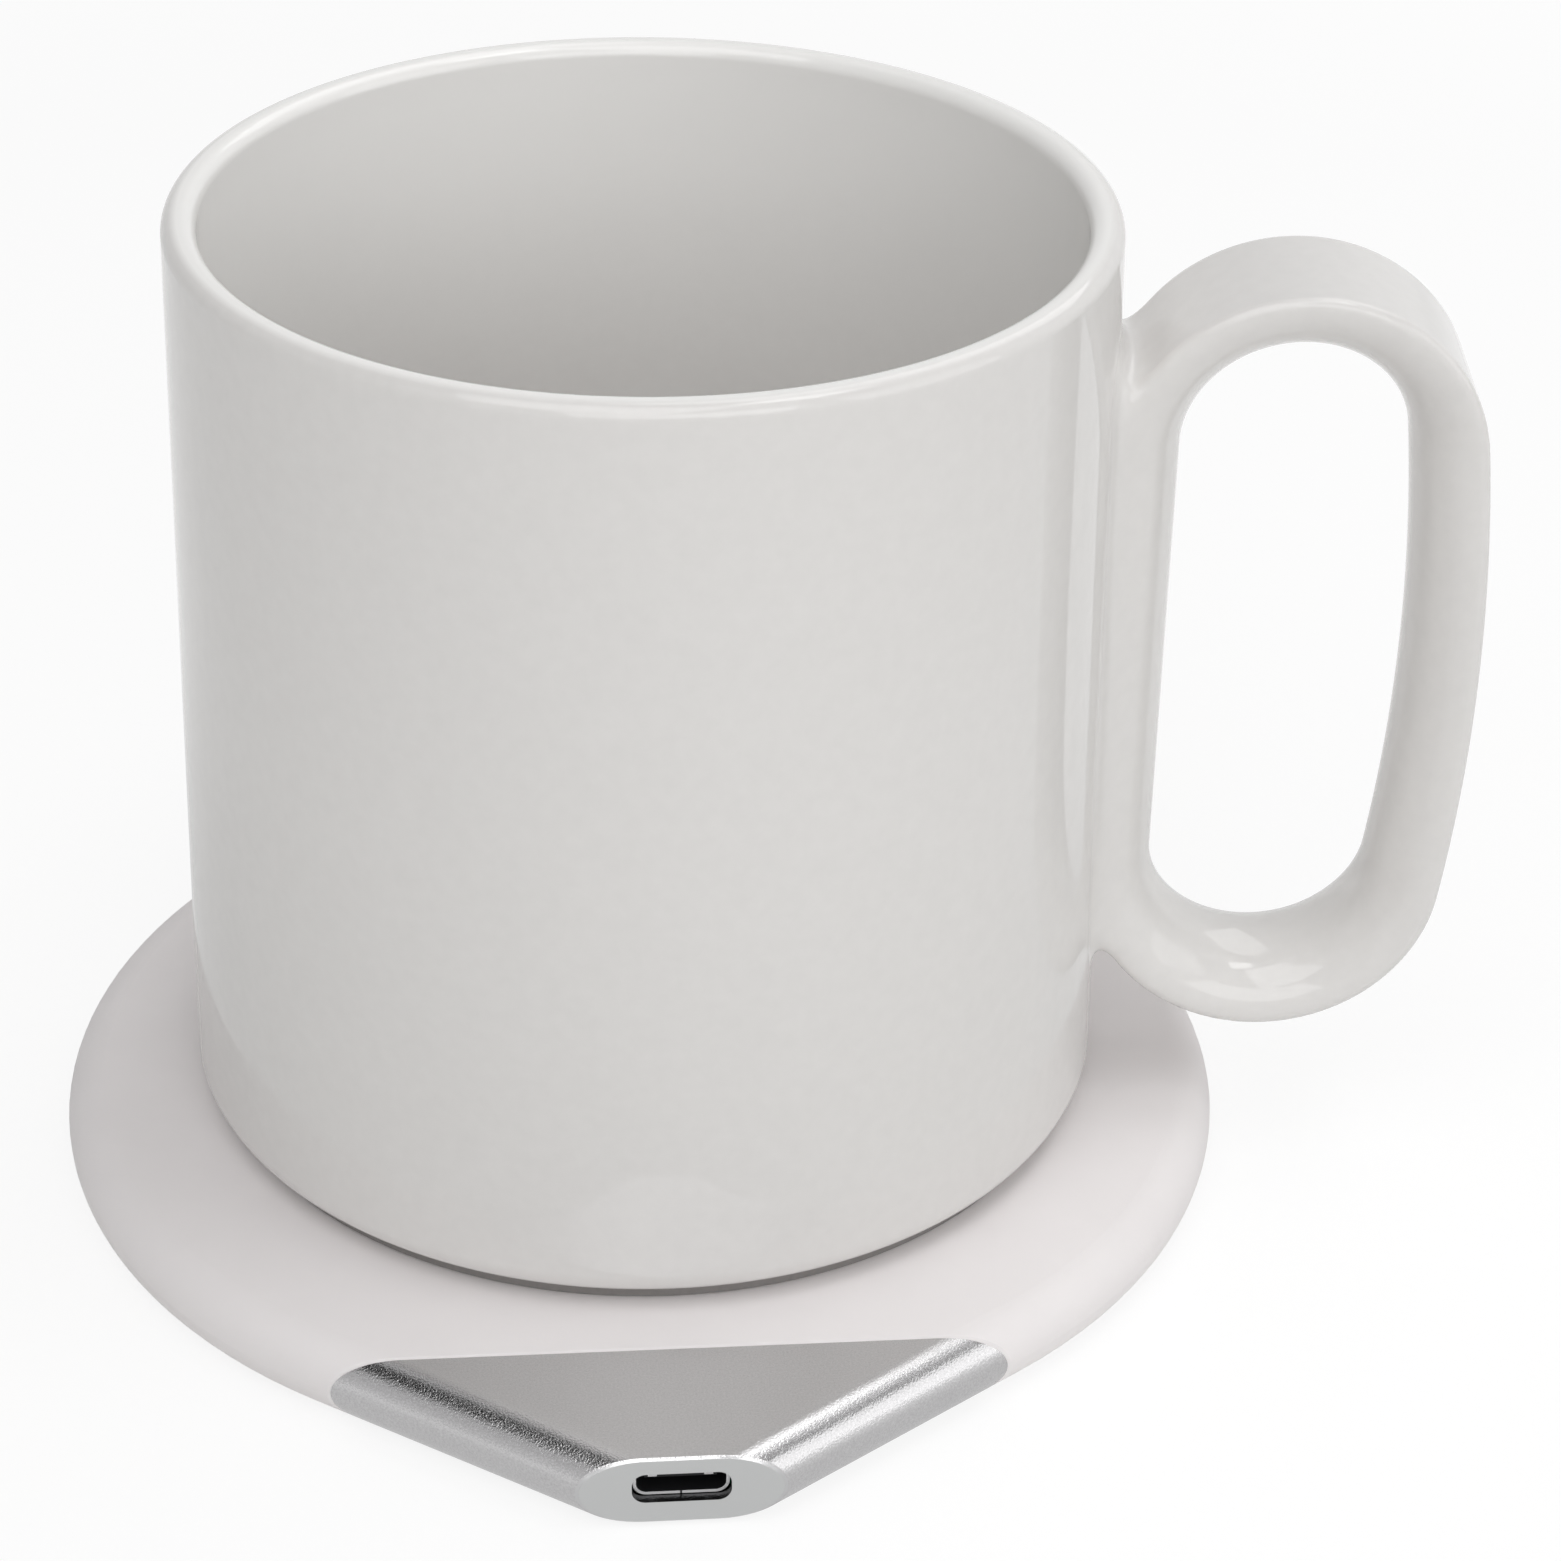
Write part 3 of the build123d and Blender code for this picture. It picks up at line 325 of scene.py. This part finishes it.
# The two tones, the grain's size and relief in millimetres, the roughness, and 1.0 for a metal.
GRAINED = {
    # Glass-filled nylon from a spark-eroded mould: a dark satin grain.
    "dark_grey_plastic": ("#7C7977", "#898684", 0.5, 0.02, 0.5),
    # ABS from a textured mould: off-white and satin.
    "floor_plastic": ("#DEDAD7", "#E6E2DF", 0.5, 0.03, 0.55),
    # Cast silicone: matt and slightly uneven.
    "grey_silicone": ("#8B8987", "#959391", 0.8, 0.03, 0.7),
    # Drawn and tin-plated steel case: a soft grey shine.
    "tinned_steel": ("#B5B5B7", "#C8C8CA", 0.3, 0.005, 0.3, 1.0),
    # Hard gold flash over nickel.
    "gold_plating": ("#D9A950", "#E9BE6C", 0.2, 0.003, 0.25, 1.0),
    # Black ABS, moulded: a satin grain.
    "black_abs": ("#1E1E20", "#28282A", 0.5, 0.02, 0.5),
    # Sintered ferrite: dark grey with fine pits.
    "ferrite": ("#2A2A2C", "#3D3D40", 0.3, 0.05, 0.6),
    # Enamelled copper strands, bunched.
    "litz_copper": ("#9C5A2E", "#C97F48", 0.35, 0.08, 0.35, 1.0),
    # Laminated polyimide film: glossy amber.
    "amber_polyimide": ("#B5701C", "#C98A2D", 0.6, 0.01, 0.3),
    # Glass-epoxy laminate under a green solder mask, whose weave shows faintly.
    "circuit_board": ("#1D5B38", "#257046", 1.2, 0.01, 0.35),
    # Pressed iron powder: dark and grainy.
    "powdered_iron": ("#454649", "#5A5B5E", 0.25, 0.04, 0.6),
    # Transfer-moulded epoxy of chips: near black and dull.
    "chip_epoxy": ("#1A1B1C", "#252627", 0.2, 0.02, 0.55),
    # Fired and glazed barium titanate: brown with a slight shine.
    "capacitor_ceramic": ("#9A7A58", "#AC8C69", 0.3, 0.01, 0.4),
    # Zinc-plated steel: a cold grey shine.
    "screw_steel": ("#A9ABAE", "#C0C2C5", 0.3, 0.01, 0.35, 1.0),
    # Needled glass fibre: off-white and hairy.
    "glass_felt": ("#D8D3C8", "#EDE9E0", 0.5, 0.25, 0.9),
    # Glass bead fused round a sensor: dark red and shiny.
    "bead_glass": ("#6B1F12", "#7D2A1A", 0.4, 0.005, 0.15),
    # Extruded silicone sleeve of a lead: soft red.
    "lead_silicone": ("#B6322B", "#C23E36", 0.5, 0.01, 0.5),
}

# The finishes that have a pattern of their own.
PATTERNED = {
    "soft_touch_white": soft_touch_white,
    "blasted_aluminium": blasted_aluminium,
    "port_shell": port_shell,
    "tongue_plastic": tongue_plastic,
}

SHOWN_NODES = {
    "soft_touch_white": ["top_cover"],
    "blasted_aluminium": ["port_nose"],
    "dark_grey_plastic": ["base_cap"],
    "floor_plastic": ["bottom_cover"],
    "grey_silicone": ["antislip_pad", "cap_seal"],
    "port_shell": ["usb_shell"],
    "tongue_plastic": ["usb_tongue"],
    "tinned_steel": ["thermal_cutout"],
    "gold_plating": ["usb_contacts"],
    "black_abs": ["coil_carrier"],
    "ferrite": ["transmitter_ferrite", "receiver_ferrite"],
    "litz_copper": ["transmitter_coil", "coil_leads", "receiver_coil", "receiver_leads"],
    "amber_polyimide": ["coil_thermistor", "heating_film"],
    "circuit_board": ["main_board", "receiver_board"],
    "powdered_iron": ["power_inductor"],
    "chip_epoxy": ["control_chip", "power_transistors", "rectifier_chips"],
    "capacitor_ceramic": ["resonant_capacitors", "smoothing_capacitors"],
    "screw_steel": ["carrier_screws", "board_screws", "cover_screws", "nose_screws", "receiver_screws"],
    "glass_felt": ["insulation_pad"],
    "bead_glass": ["film_thermistor"],
    "lead_silicone": ["heater_leads"],
}


def dress_nodes():
    """Gives each CAD node that stays its real finish."""
    for finish, nodes in SHOWN_NODES.items():
        material = PATTERNED[finish]() if finish in PATTERNED else grained(finish, *GRAINED[finish])
        for node in nodes:
            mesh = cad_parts[node].data
            mesh.materials.clear()
            mesh.materials.append(material)


# ------------------------------------------------------------------ mug
def wire(bm, points):
    """Vertices along a line of points, joined by edges."""
    verts = [bm.verts.new(p) for p in points]
    for first, second in zip(verts[:-1], verts[1:]):
        bm.edges.new((first, second))
    return verts


def mug_radius(z):
    """The outside radius of the mug's wall at a height, or at an array of heights."""
    return MUG_BOTTOM_RADIUS + (MUG_TOP_RADIUS - MUG_BOTTOM_RADIUS) * (z - MUG_LOW) / (MUG_HIGH - MUG_LOW)


def glazed_mug(glaze):
    """The mug's body, turned from its section: lip, wall, foot, and the recess for the base."""
    recess_top = MUG_LOW + RECESS_DEPTH
    floor_top = recess_top + MUG_FLOOR
    bm = bmesh.new()
    verts = wire(bm, [(0, 0, floor_top), (mug_radius(floor_top) - MUG_WALL, 0, floor_top),
                      (MUG_TOP_RADIUS - MUG_WALL, 0, MUG_HIGH), (MUG_TOP_RADIUS, 0, MUG_HIGH),
                      (MUG_BOTTOM_RADIUS, 0, MUG_LOW), (RECESS_RADIUS, 0, MUG_LOW),
                      (RECESS_RADIUS, 0, recess_top), (0, 0, recess_top)])
    rounds = (FLOOR_ROUND, LIP_ROUND, LIP_ROUND, FOOT_ROUND, RECESS_EDGE, RECESS_ROUND)
    for vert, size in zip(verts[1:-1], rounds):
        bmesh.ops.bevel(bm, geom=[vert], affect="VERTICES", offset=size, offset_type="OFFSET",
                        segments=ROUND_STEPS, profile=0.5, material=-1)
    bmesh.ops.spin(bm, geom=bm.verts[:] + bm.edges[:], cent=(0, 0, 0), axis=(0, 0, 1),
                   angle=2 * math.pi, steps=MUG_STEPS, use_merge=True)
    bmesh.ops.remove_doubles(bm, verts=bm.verts[:], dist=MERGE_DISTANCE)
    bmesh.ops.recalc_face_normals(bm, faces=bm.faces[:])
    bmesh.ops.translate(bm, verts=bm.verts[:], vec=MUG_AXIS)
    return new_piece("glazed_mug", bm, "mug", glaze, "mug_body")


# ------------------------------------------------------------------ handle
def handle_ring(bm):
    """The handle's closed band about its own middle: up the straight side, round, and back."""
    section = bmesh.ops.create_circle(bm, segments=BAND_SIDES, radius=1.0)["verts"]
    for vert in section:
        vert.co.x = max(vert.co.x * BAND_ELLIPSE, -BAND_EDGE_ROUND) - ELLIPSE_OUT
        vert.co.y *= BAND_DEPTH / 2
    bmesh.ops.translate(bm, verts=section, vec=(-BAND_HALF_WIDTH, 0, -CORNER_Z))
    side = bmesh.ops.extrude_edge_only(bm, edges=bm.edges[:])["geom"]
    last = [part for part in side if not isinstance(part, bmesh.types.BMFace)]
    bmesh.ops.translate(bm, verts=[part for part in last if isinstance(part, bmesh.types.BMVert)],
                        vec=(0, 0, 2 * CORNER_Z))
    turns = (((CORNER_X, 0, CORNER_Z), math.pi - BOW_ANGLE, CORNER_STEPS),
             ((BOW_X, 0, 0), 2 * BOW_ANGLE, BOW_STEPS),
             ((CORNER_X, 0, -CORNER_Z), math.pi - BOW_ANGLE, CORNER_STEPS))
    for centre, angle, steps in turns:
        last = bmesh.ops.spin(bm, geom=last, cent=centre, axis=(0, 1, 0), angle=angle,
                              steps=steps)["geom_last"]
    bmesh.ops.remove_doubles(bm, verts=bm.verts[:], dist=MERGE_DISTANCE)


def root_slab(bm, middle):
    """A curved plate inside the mug's wall, on which the ring stands."""
    reach = CORNER_Z + CORNER_RADIUS
    spread = ROOT_SPREAD * BAND_DEPTH / MUG_TOP_RADIUS
    outline = [bm.verts.new((mug_radius(z) - depth, 0, z))
               for z, depth in ((middle - reach, ROOT_DEPTH), (middle - reach, ROOT_SINK),
                                (middle + reach, ROOT_SINK), (middle + reach, ROOT_DEPTH))]
    face = bm.faces.new(outline)
    bmesh.ops.rotate(bm, verts=outline, cent=(0, 0, 0), matrix=Matrix.Rotation(-spread / 2, 3, "Z"))
    bmesh.ops.spin(bm, geom=[face], cent=(0, 0, 0), axis=(0, 0, 1), angle=spread, steps=ROOT_STEPS)


def ring_distance(x, y, z):
    """How far points are from the ring's surface, and the three parts of the way out of it."""
    above = numpy.sign(z)
    z = numpy.abs(z)
    turn = numpy.arctan2(z - CORNER_Z, x - CORNER_X)
    side = (x < CORNER_X) & (z < CORNER_Z)
    bow = ~side & (turn < BOW_ANGLE)
    centre_x = numpy.where(bow, BOW_X, CORNER_X)
    centre_z = numpy.where(bow, 0.0, CORNER_Z)
    reach = numpy.hypot(x - centre_x, z - centre_z)
    across = numpy.where(side, -x - BAND_HALF_WIDTH, reach - numpy.where(bow, BOW_RADIUS, CORNER_RADIUS))
    way_x = numpy.where(side, -1.0, (x - centre_x) / reach)
    way_z = numpy.where(side, 0.0, (z - centre_z) / reach) * above
    # Inside the ellipse's centre line the distance is the ellipse's level over its slope.
    across = across - ELLIPSE_OUT
    level = numpy.hypot(across / BAND_ELLIPSE, y / (BAND_DEPTH / 2))
    out = across / BAND_ELLIPSE ** 2 / level
    along = y / (BAND_DEPTH / 2) ** 2 / level
    slope = numpy.hypot(out, along)
    # Outside it, the section is a flat side with two rounded edges.
    past = numpy.maximum(numpy.abs(y) - (BAND_DEPTH / 2 - BAND_EDGE_ROUND), 0.0)
    corner = numpy.hypot(across, past)
    flat = across > 0
    out = numpy.where(flat, across / corner, out / slope)
    along = numpy.where(flat, numpy.sign(y) * past / corner, along / slope)
    return numpy.where(flat, corner - BAND_EDGE_ROUND, (level - 1) / slope), way_x * out, along, way_z * out


def settle_root(mesh, middle_x, middle_z):
    """Moves the handle's surface on to the ring and the wall, with the corner between them filled
    as glaze fills it: a rolling ball's radius, which changes from the notches to beside the band."""
    flat = numpy.empty(len(mesh.vertices) * 3)
    mesh.vertices.foreach_get("co", flat)
    x, y, z = flat.reshape(-1, 3).T.copy()
    for _ in range(SETTLE_STEPS):
        ring, ring_x, ring_y, ring_z = ring_distance(x - middle_x, y, z - middle_z)
        reach = numpy.hypot(x, y)
        wall = reach - mug_radius(z) + ROOT_SINK
        end = numpy.clip((numpy.abs(z - middle_z) - CORNER_Z) / (ROOT_BLEND * CORNER_RADIUS), 0.0, 1.0)
        notch = numpy.where(z > middle_z, ROOT_TOP_RADIUS, ROOT_BOTTOM_RADIUS)
        ball = ROOT_SIDE_RADIUS + (notch - ROOT_SIDE_RADIUS) * end * end * (3 - 2 * end)
        from_ring = numpy.maximum(ball - ring, 0.0)
        from_wall = numpy.maximum(ball - wall, 0.0)
        span = numpy.maximum(numpy.hypot(from_ring, from_wall), MERGE_DISTANCE)
        out_x = (from_ring * ring_x + from_wall * x / reach) / span
        out_y = (from_ring * ring_y + from_wall * y / reach) / span
        out_z = from_ring * ring_z / span
        # In a narrow corner the surface lies further off than its level says.
        steep = numpy.maximum(numpy.sqrt(out_x ** 2 + out_y ** 2 + out_z ** 2), LEAST_SLOPE)
        step = (numpy.maximum(ball, numpy.minimum(ring, wall)) - span) / steep
        step = numpy.where(wall > -SETTLE_DEPTH, numpy.clip(step, -SETTLE_REACH, SETTLE_REACH), 0.0) / steep
        x = x - step * out_x
        y = y - step * out_y
        z = z - step * out_z
    mesh.vertices.foreach_set("co", numpy.stack((x, y, z), axis=1).ravel())


def glazed_handle(glaze):
    """The loop handle with its root: the ring and the plate joined, remeshed and settled."""
    middle_z = MUG_LOW + HANDLE_CENTRE_HEIGHT
    middle_x = mug_radius(middle_z) - HANDLE_SINK + HANDLE_WIDTH / 2
    bm = bmesh.new()
    handle_ring(bm)
    bmesh.ops.translate(bm, verts=bm.verts[:], vec=(middle_x, 0, middle_z))
    root_slab(bm, middle_z)
    bmesh.ops.recalc_face_normals(bm, faces=bm.faces[:])
    piece = new_piece("glazed_handle", bm, "mug", glaze, "mug_handle")
    for voxel in ROOT_VOXELS:
        remesh = piece.modifiers.new("join", "REMESH")
        remesh.mode = "VOXEL"
        remesh.voxel_size = voxel
        remesh.use_smooth_shade = True
        view = bpy.context.evaluated_depsgraph_get()
        joined = bpy.data.meshes.new_from_object(piece.evaluated_get(view))
        piece.modifiers.clear()
        settle_root(joined, middle_x, middle_z)
        piece.data = joined
    joined.transform(Matrix.Translation(MUG_AXIS) @ Matrix.Rotation(HANDLE_ANGLE, 4, "Z"))
    return piece


# ------------------------------------------------------------------ stage
FLOOR_SIZE = 3.0
FLOOR_GLOW = 0.82  # what the camera sees of the floor near the object, before the light that falls on it
FLOOR_CATCH = 0.2  # how much of that light it shows
BARE_GLOW = 0.96  # the same far away, where little light falls on it
BARE_INNER = 0.3
BARE_OUTER = 1.2
SHADE_TONE = 0.58  # the floor's painted shade close round the object, as reflections see it
SHADE_INNER = 60 * MM
SHADE_OUTER = 150 * MM
AMBIENT = 0.25  # how strongly the surroundings light the object
# The dim stretches of the surroundings: azimuth and elevation of each middle, then degrees away from
# it and the brightness there.
DIM_STRETCHES = ((-98, 57, ((95, 1.0), (51, 0.7), (22, 0.52), (12, 0.0))),
                 (66, 34, ((60, 1.0), (45, 0.95), (27, 0.9), (19, 0.3))))

LAMP_AIM = Vector((0, 0, 50)) * MM
# Azimuth, elevation, distance, width, height and radiance. The lamps keep off the zenith, where the
# nose's flat top would mirror them to a view from above.
LAMPS = {
    "left_light": (-24, 60, 1.0, 0.74, 0.74, 1.8),
    "right_light": (64, 22, 1.0, 0.68, 0.6, 1.2),
    "front_light": (5, 25, 1.35, 1.2, 0.65, 1.7),
    "back_light": (139, 55, 1.1, 0.56, 0.95, 1.4),
    "top_light": (72, 70, 1.0, 0.28, 0.28, 3.6),
}

CAMERA_PLACE = Vector((-18.537, -343.418, 245.223)) * MM
CAMERA_AZIMUTH = -5.429  # degrees, as the lamps' are
CAMERA_ELEVATION = 30.754
CAMERA_ROLL = 1.131
CAMERA_LENS = 90.99  # millimetres, and the sensor's width too
CAMERA_SENSOR = 36.0
CAMERA_NEAR = 0.01


def white_floor():
    """A white floor that shows the object's shadow and otherwise melts into the background. In
    reflections it is painted darker close round the object, as painted shade."""
    material, tree, place = new_material("white_floor")
    path, seen = seen_rays(tree)
    away = add(tree, "ShaderNodeVectorMath", {0: place}, operation="LENGTH").outputs["Value"]
    # Painted shade: for reflections the floor's glow is lowered close round the object.
    shade = add(tree, "ShaderNodeMapRange", {0: away, 1: SHADE_INNER, 2: SHADE_OUTER,
                                             3: SHADE_TONE, 4: FLOOR_GLOW}, interpolation_type="SMOOTHSTEP")
    bare = add(tree, "ShaderNodeMapRange", {0: away, 1: BARE_INNER, 2: BARE_OUTER,
                                            3: FLOOR_GLOW, 4: BARE_GLOW})
    level = add(tree, "ShaderNodeMix", {0: path["Is Camera Ray"], 2: shade.outputs[0], 3: bare.outputs[0]},
                data_type="FLOAT")
    glow = add(tree, "ShaderNodeEmission", {"Color": (1, 1, 1, 1), "Strength": level.outputs[0]})
    catch = add(tree, "ShaderNodeBsdfDiffuse", {"Color": (FLOOR_CATCH, FLOOR_CATCH, FLOOR_CATCH, 1)})
    both = add(tree, "ShaderNodeAddShader", {0: glow.outputs[0], 1: catch.outputs[0]})
    plain = add(tree, "ShaderNodeBsdfDiffuse", {"Color": linear("#F2F2F1")})
    mix = add(tree, "ShaderNodeMixShader", {0: seen, 1: plain.outputs[0], 2: both.outputs[0]})
    add(tree, "ShaderNodeOutputMaterial", {"Surface": mix.outputs[0]})
    bm = bmesh.new()
    bmesh.ops.create_grid(bm, x_segments=1, y_segments=1, size=FLOOR_SIZE / 2)
    new_object("floor", bm, material)


def surroundings():
    """White surroundings, seen at full white and lighting the object more softly. In reflections they
    dim towards the upper left, which gives the metal's rounded side its dark band, and behind the
    right lamp, which keeps that lamp's reflections from burning out."""
    world = bpy.data.worlds.new("studio")
    bpy.context.scene.world = world
    world.use_nodes = True
    tree = world.node_tree
    tree.nodes.clear()
    path, seen = seen_rays(tree)
    way = add(tree, "ShaderNodeTexCoord").outputs["Generated"]
    tones = []
    for azimuth, elevation, levels in DIM_STRETCHES:
        middle = facing(azimuth, elevation) @ Vector((0, 0, 1))
        near = add(tree, "ShaderNodeVectorMath", {0: way, 1: middle}, operation="DOT_PRODUCT")
        ramp = add(tree, "ShaderNodeValToRGB", {"Fac": near.outputs["Value"]})
        tones.append(ramp.outputs["Color"])
        stops = ramp.color_ramp.elements
        while len(stops) < len(levels):
            stops.new(0.5)
        for stop, (angle, level) in zip(stops, levels):
            stop.position = math.cos(math.radians(angle))
            stop.color = (level, level, level, 1)
    tone = add(tree, "ShaderNodeMath", {0: tones[0], 1: tones[1]}, operation="MULTIPLY")
    tone = add(tree, "ShaderNodeMath", {0: tone.outputs[0], 1: path["Is Camera Ray"]}, operation="MAXIMUM")
    strength = add(tree, "ShaderNodeMix", {0: seen, 2: AMBIENT, 3: tone.outputs[0]}, data_type="FLOAT")
    sky = add(tree, "ShaderNodeBackground", {"Color": (1, 1, 1, 1), "Strength": strength.outputs[0]})
    add(tree, "ShaderNodeOutputWorld", {"Surface": sky.outputs[0]})


def softbox(name, azimuth, elevation, distance, width, height, radiance):
    """A rectangular lamp that faces the mug, as bright whatever its size."""
    light = bpy.data.lights.new(name, "AREA")
    light.shape = "RECTANGLE"
    light.size = width
    light.size_y = height
    light.energy = radiance * math.pi * width * height
    lamp = bpy.data.objects.new(name, light)
    lamp.matrix_world = (Matrix.Translation(LAMP_AIM) @ facing(azimuth, elevation)
                         @ Matrix.Translation((0, 0, distance)))
    bpy.context.scene.collection.objects.link(lamp)


def camera():
    """The camera, which stands in front of the nose and looks down on it."""
    data = bpy.data.cameras.new("camera")
    data.sensor_width = CAMERA_SENSOR
    data.lens = CAMERA_LENS
    data.clip_start = CAMERA_NEAR
    eye = bpy.data.objects.new("camera", data)
    eye.matrix_world = (Matrix.Translation(CAMERA_PLACE) @ facing(CAMERA_AZIMUTH, CAMERA_ELEVATION)
                        @ Matrix.Rotation(math.radians(CAMERA_ROLL), 4, "Z"))
    bpy.context.scene.collection.objects.link(eye)
    bpy.context.scene.camera = eye


# ------------------------------------------------------------------ scene
dress_nodes()
glaze = white_glaze()
glazed_mug(glaze)
glazed_handle(glaze)
white_floor()
surroundings()
for lamp_name, figures in LAMPS.items():
    softbox(lamp_name, *figures)
camera()
bpy.context.scene.view_settings.view_transform = "Standard"
